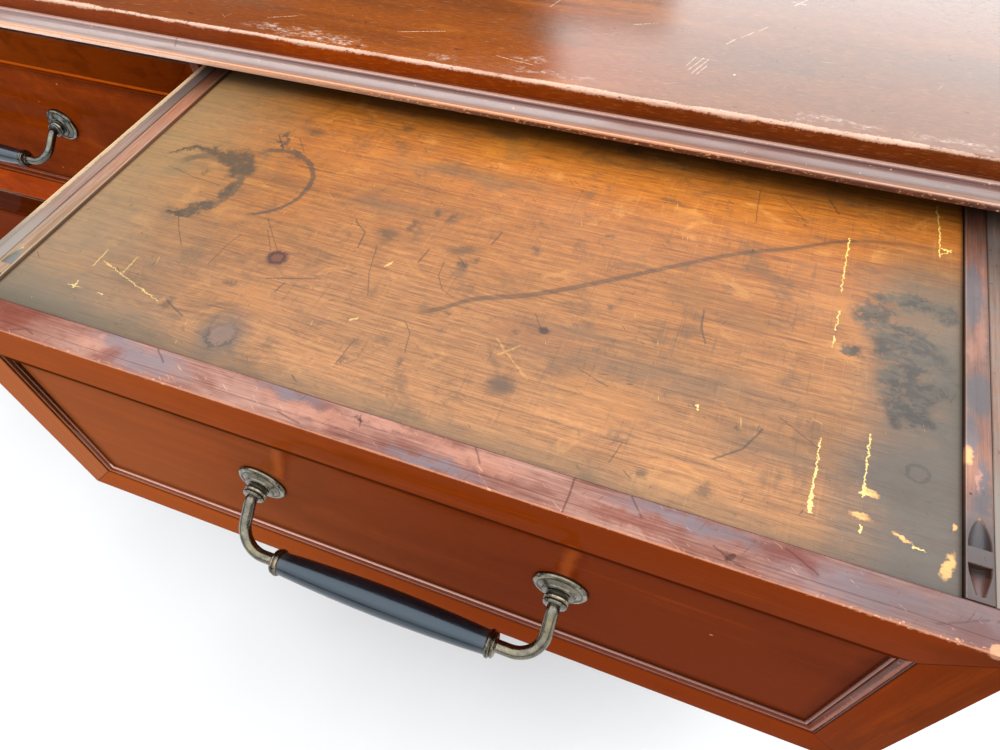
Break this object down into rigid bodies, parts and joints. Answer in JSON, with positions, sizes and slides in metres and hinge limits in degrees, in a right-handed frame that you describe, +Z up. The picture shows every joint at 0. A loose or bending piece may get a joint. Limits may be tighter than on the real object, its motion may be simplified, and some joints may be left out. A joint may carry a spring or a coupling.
{
  "type": "haberdashery drawer cabinet",
  "caption": "Low wooden cabinet of wide panelled drawers with bar handles; each drawer has a loose board lid held down by sliding side bars.",
  "frame": {"origin": "on the floor, under the middle of the carcass", "axes": "+Z up, +X along the width to the right, -Y out of the drawer fronts"},
  "size_m": [1.47, 0.8833, 0.631],
  "materials": {
    "carcass_mahogany": "worn polish",
    "carcass_deal": "bare, aged",
    "front_mahogany": "polished",
    "drawer_wood": "bare, aged",
    "lid_pine": "varnished, stained",
    "bar_mahogany": "bare, aged",
    "handle_brass": "aged",
    "grip_ebonised": "black polish",
    "screw_steel": "dull"
  },
  "bodies": {
    "carcass": {"top_board": "carcass_mahogany", "cornice_front": "carcass_mahogany", "cornice_left": "carcass_mahogany", "cornice_right": "carcass_mahogany", "end_panel_left": "carcass_mahogany", "end_panel_right": "carcass_mahogany", "centre_divider": "carcass_mahogany", "bottom_board": "carcass_deal", "top_rails": "carcass_mahogany", "middle_rails": "carcass_deal", "lower_rails": "carcass_deal", "drawer_runners": "carcass_deal", "kickers": "carcass_deal", "drawer_guides": "carcass_deal", "back_boards": "carcass_deal", "back_screws": "screw_steel", "plinth_front": "carcass_mahogany", "plinth_left": "carcass_mahogany", "plinth_right": "carcass_mahogany", "plinth_blocks": "carcass_deal"},
    "upper_right_drawer": {"upper_right_front_top_rail": "front_mahogany", "upper_right_front_bottom_rail": "front_mahogany", "upper_right_front_left_stile": "front_mahogany", "upper_right_front_right_stile": "front_mahogany", "upper_right_front_panel": "front_mahogany", "upper_right_front_mouldings": "front_mahogany", "upper_right_side_left": "drawer_wood", "upper_right_side_right": "drawer_wood", "upper_right_back": "drawer_wood", "upper_right_bottom": "drawer_wood", "upper_right_lid": "lid_pine", "upper_right_lid_ledges": "drawer_wood", "upper_right_handle_rosettes": "handle_brass", "upper_right_handle_arm_left": "handle_brass", "upper_right_handle_arm_right": "handle_brass", "upper_right_handle_grip": "grip_ebonised", "upper_right_handle_nuts": "handle_brass"},
    "upper_right_lid_bar_left": {"upper_right_lid_bar_left": "bar_mahogany"},
    "upper_right_lid_bar_right": {"upper_right_lid_bar_right": "bar_mahogany"},
    "upper_left_drawer": {"upper_left_front": "front_mahogany", "upper_left_box": "drawer_wood", "upper_left_lid": "lid_pine", "upper_left_handle": "handle_brass", "upper_left_handle_grip": "grip_ebonised"},
    "upper_left_lid_bar_left": {"upper_left_lid_bar_left": "bar_mahogany"},
    "upper_left_lid_bar_right": {"upper_left_lid_bar_right": "bar_mahogany"},
    "lower_right_drawer": {"lower_right_front": "front_mahogany", "lower_right_box": "drawer_wood", "lower_right_lid": "lid_pine", "lower_right_handle": "handle_brass", "lower_right_handle_grip": "grip_ebonised"},
    "lower_right_lid_bar_left": {"lower_right_lid_bar_left": "bar_mahogany"},
    "lower_right_lid_bar_right": {"lower_right_lid_bar_right": "bar_mahogany"},
    "lower_left_drawer": {"lower_left_front": "front_mahogany", "lower_left_box": "drawer_wood", "lower_left_lid": "lid_pine", "lower_left_handle": "handle_brass", "lower_left_handle_grip": "grip_ebonised"},
    "lower_left_lid_bar_left": {"lower_left_lid_bar_left": "bar_mahogany"},
    "lower_left_lid_bar_right": {"lower_left_lid_bar_right": "bar_mahogany"}
  },
  "joints": [
    {"name": "upper_right_drawer_slide", "type": "slide", "parent": "carcass", "child": "upper_right_drawer", "axis": [0, -1, 0], "range_m": [-0.321, 0.099]},
    {"name": "upper_right_lid_bar_left_slide", "type": "slide", "parent": "upper_right_drawer", "child": "upper_right_lid_bar_left", "axis": [0, 1, 0], "range_m": [0, 0.04]},
    {"name": "upper_right_lid_bar_right_slide", "type": "slide", "parent": "upper_right_drawer", "child": "upper_right_lid_bar_right", "axis": [0, 1, 0], "range_m": [0, 0.04]},
    {"name": "upper_left_drawer_slide", "type": "slide", "parent": "carcass", "child": "upper_left_drawer", "axis": [0, -1, 0], "range_m": [0, 0.42]},
    {"name": "upper_left_lid_bar_left_slide", "type": "slide", "parent": "upper_left_drawer", "child": "upper_left_lid_bar_left", "axis": [0, 1, 0], "range_m": [0, 0.04]},
    {"name": "upper_left_lid_bar_right_slide", "type": "slide", "parent": "upper_left_drawer", "child": "upper_left_lid_bar_right", "axis": [0, 1, 0], "range_m": [0, 0.04]},
    {"name": "lower_right_drawer_slide", "type": "slide", "parent": "carcass", "child": "lower_right_drawer", "axis": [0, -1, 0], "range_m": [0, 0.42]},
    {"name": "lower_right_lid_bar_left_slide", "type": "slide", "parent": "lower_right_drawer", "child": "lower_right_lid_bar_left", "axis": [0, 1, 0], "range_m": [0, 0.04]},
    {"name": "lower_right_lid_bar_right_slide", "type": "slide", "parent": "lower_right_drawer", "child": "lower_right_lid_bar_right", "axis": [0, 1, 0], "range_m": [0, 0.04]},
    {"name": "lower_left_drawer_slide", "type": "slide", "parent": "carcass", "child": "lower_left_drawer", "axis": [0, -1, 0], "range_m": [0, 0.42]},
    {"name": "lower_left_lid_bar_left_slide", "type": "slide", "parent": "lower_left_drawer", "child": "lower_left_lid_bar_left", "axis": [0, 1, 0], "range_m": [0, 0.04]},
    {"name": "lower_left_lid_bar_right_slide", "type": "slide", "parent": "lower_left_drawer", "child": "lower_left_lid_bar_right", "axis": [0, 1, 0], "range_m": [0, 0.04]}
  ]
}
